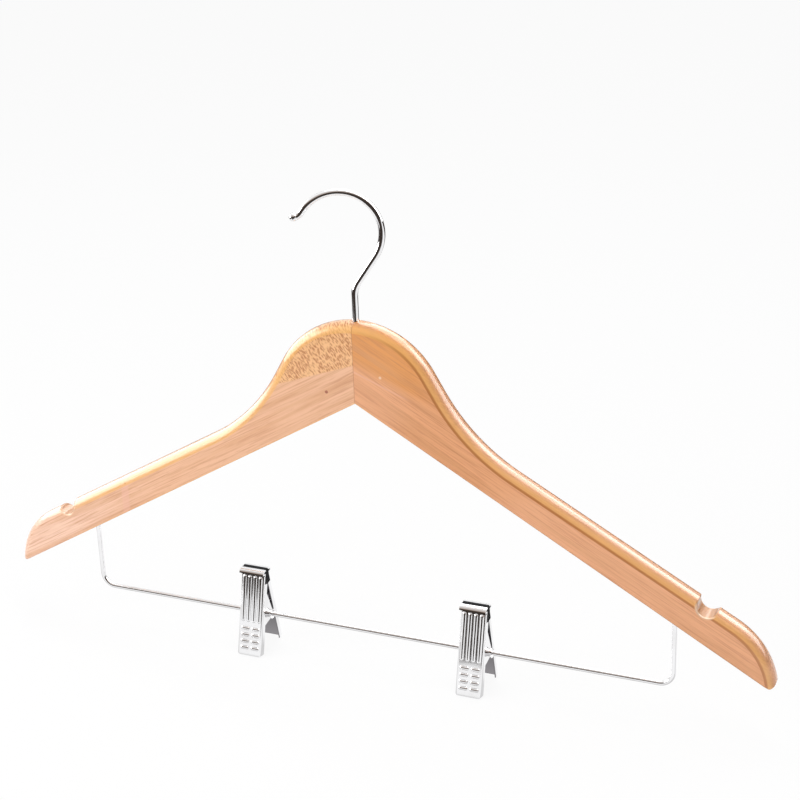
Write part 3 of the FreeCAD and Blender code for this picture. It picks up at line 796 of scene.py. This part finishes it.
def build_floor(studio):
    """A white paper floor that keeps a faint shadow, and that polished metal mirrors as partly unlit."""
    level = CAD_BOX[0].z - FLOOR_GAP
    mesh = bpy.data.meshes.new("floor")
    corners = [
        (-FLOOR_REACH, -FLOOR_REACH, level),
        (FLOOR_REACH, -FLOOR_REACH, level),
        (FLOOR_REACH, FLOOR_REACH, level),
        (-FLOOR_REACH, FLOOR_REACH, level),
    ]
    mesh.from_pydata(corners, [], [(0, 1, 2, 3)])
    floor = bpy.data.objects.new("floor", mesh)
    bpy.context.scene.collection.objects.link(floor)
    material = bpy.data.materials.new("paper_floor")
    material.use_nodes = True
    material.node_tree.nodes.clear()
    tree = Tree(material.node_tree)
    paper = tree.add("ShaderNodeBsdfDiffuse", {"Color": rgba(studio.floor_colour)})
    path = tree.add("ShaderNodeLightPath").outputs
    y = tree.axes(tree.object_point())[1]
    off_line = tree.math("ABSOLUTE", tree.math("SUBTRACT", y, SHADOW_MIDDLE))
    shadow = tree.step(off_line, SHADOW_HALF, SHADOW_HALF * SHADOW_CORE)
    under = tree.math("MULTIPLY", shadow, studio.under_shadow)
    dim = tree.math("MAXIMUM", past_paper(tree), under)
    unlit = tree.math("MULTIPLY", dim, path["Is Glossy Ray"])
    shade = tree.mix(unlit, WHITE, rgba(studio.dark_side))
    strength = tree.math("MULTIPLY_ADD", path["Is Glossy Ray"], METAL_GAIN, 1.0)
    glow = tree.add("ShaderNodeEmission", {"Color": shade, "Strength": strength})
    faint = tree.math("MULTIPLY", seen_directly(tree), studio.floor_glow)
    share = tree.math("MAXIMUM", faint, path["Is Glossy Ray"])
    shown = tree.add("ShaderNodeMixShader", {0: share, 1: paper.outputs[0], 2: glow.outputs[0]})
    tree.add("ShaderNodeOutputMaterial", {"Surface": shown.outputs[0]})
    mesh.materials.append(material)


def build_world(studio):
    """A white studio with an even light, mirrored by metal as dark near the camera and low behind."""
    world = bpy.data.worlds.new("white_studio")
    world.use_nodes = True
    world.node_tree.nodes.clear()
    tree = Tree(world.node_tree)
    x, y, z = tree.axes(tree.add("ShaderNodeTexCoord").outputs["Generated"])
    front = tree.math("SUBTRACT", tree.math("MULTIPLY", x, CAMERA_SIDE_SLANT), y)
    toward_camera = tree.step(front, *CAMERA_SIDE_STEP)
    right_of_lamp = tree.step(x, *LAMP_RIGHT_STEP)
    below_top = tree.step(z, *BELOW_TOP_STEP)
    front_dark = tree.math("MULTIPLY", tree.math("MULTIPLY", toward_camera, right_of_lamp), below_top)
    behind = tree.math("MULTIPLY", tree.step(y, *BACK_STEP), tree.step(x, *BACK_RIGHT_STEP))
    back_dark = tree.math("MULTIPLY", behind, tree.step(z, *BACK_LOW_STEP))
    unlit = tree.math("MAXIMUM", front_dark, back_dark)
    path = tree.add("ShaderNodeLightPath").outputs
    off_metal = tree.math("MULTIPLY", unlit, path["Is Glossy Ray"])
    wall = tree.mix(tree.step(z, *WARM_WALL_STEP), rgba(studio.dark_side), rgba(studio.warm_wall))
    wall = tree.mix(tree.step(z, *HIGH_WALL_STEP), wall, rgba(studio.high_wall))
    shown = tree.mix(off_metal, WHITE, wall)
    plain = tree.math("MAXIMUM", seen_directly(tree), studio.ambient)
    strength = tree.math("MULTIPLY_ADD", path["Is Glossy Ray"], METAL_GAIN, plain)
    sky = tree.add("ShaderNodeBackground", {"Color": shown, "Strength": strength})
    tree.add("ShaderNodeOutputWorld", {"Surface": sky.outputs[0]})
    bpy.context.scene.world = world


def add_softbox(name, place, width, height, power):
    """A rectangular lamp that faces the middle of the hanger."""
    lamp = bpy.data.lights.new(name, "AREA")
    lamp.shape = "RECTANGLE"
    lamp.size = width
    lamp.size_y = height
    lamp.energy = power
    softbox = bpy.data.objects.new(name, lamp)
    middle = (CAD_BOX[0] + CAD_BOX[1]) / 2
    softbox.location = place
    softbox.rotation_euler = (middle - place).to_track_quat("-Z", "Y").to_euler()
    softbox.visible_camera = False
    bpy.context.scene.collection.objects.link(softbox)
    return softbox


def add_card(name, place, width, height, level):
    """A bright card that shows only in polished surfaces, as strong as a white of this level."""
    card = add_softbox(name, place, width, height, math.pi * width * height * level)
    card.visible_diffuse = False


def add_camera(studio):
    """The camera at the photograph's angle."""
    lens = bpy.data.cameras.new("view")
    lens.lens = studio.lens
    lens.sensor_width = SENSOR_W
    lens.sensor_fit = "HORIZONTAL"
    camera = bpy.data.objects.new("view", lens)
    turned = Matrix.Rotation(VIEW_AZIMUTH, 4, "Z") @ Matrix.Rotation(math.pi / 2 - VIEW_ELEVATION, 4, "X")
    turned = turned @ Matrix.Rotation(VIEW_ROLL, 4, "Z")
    back = turned.to_3x3() @ Vector((0.0, 0.0, 1.0))
    camera.matrix_world = Matrix.Translation(VIEW_AIM + back * VIEW_DISTANCE) @ turned
    bpy.context.scene.collection.objects.link(camera)
    bpy.context.scene.camera = camera


class HANGER_OT_studio(bpy.types.Operator):
    """Set up the white floor, the soft light and the camera"""

    bl_idname = "hanger.studio"
    bl_label = "Studio"

    def execute(self, context):
        studio = context.scene.hanger_studio
        context.scene.view_settings.view_transform = "Standard"
        build_floor(studio)
        build_world(studio)
        key = add_softbox("key_softbox", *KEY_SOFTBOX, studio.key_power)
        key.visible_glossy = False
        top = add_softbox("top_softbox", *TOP_SOFTBOX, studio.top_power)
        top.visible_glossy = False
        for name, card in CARDS.items():
            add_card(name, *card, studio.card_level)
        add_camera(studio)
        return {"FINISHED"}


PIECE_OPERATORS = (HANGER_OT_arms, HANGER_OT_joint, HANGER_OT_wires, HANGER_OT_clips, HANGER_OT_studio)
SETTINGS = {
    "hanger_wood": HangerWood,
    "hanger_metal": HangerMetal,
    "hanger_pads": HangerPads,
    "hanger_studio": HangerStudio,
}


class HANGER_PT_finishes(bpy.types.Panel):
    """Lists the hanger's finishes and their settings"""

    bl_idname = "HANGER_PT_finishes"
    bl_label = "Skirt hanger"
    bl_space_type = "VIEW_3D"
    bl_region_type = "UI"
    bl_category = "Hanger"

    def draw(self, context):
        for piece in PIECE_OPERATORS:
            self.layout.operator(piece.bl_idname, text=piece.bl_label)
        for name, settings in SETTINGS.items():
            box = self.layout.box()
            for setting in settings.__annotations__:
                box.prop(getattr(context.scene, name), setting)


CLASSES = tuple(SETTINGS.values()) + PIECE_OPERATORS + (HANGER_PT_finishes,)


def register():
    """Adds the settings, operators and panel."""
    for cls in CLASSES:
        bpy.utils.register_class(cls)
    for name, settings in SETTINGS.items():
        setattr(bpy.types.Scene, name, PointerProperty(type=settings))


def unregister():
    """Takes them out again."""
    for name in SETTINGS:
        delattr(bpy.types.Scene, name)
    for cls in reversed(CLASSES):
        bpy.utils.unregister_class(cls)


def main():
    """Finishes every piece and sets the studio."""
    register()
    build_shared_groups()
    bpy.ops.hanger.arms()
    bpy.ops.hanger.joint()
    bpy.ops.hanger.wires()
    bpy.ops.hanger.clips()
    bpy.ops.hanger.studio()


if __name__ == "__main__":
    main()
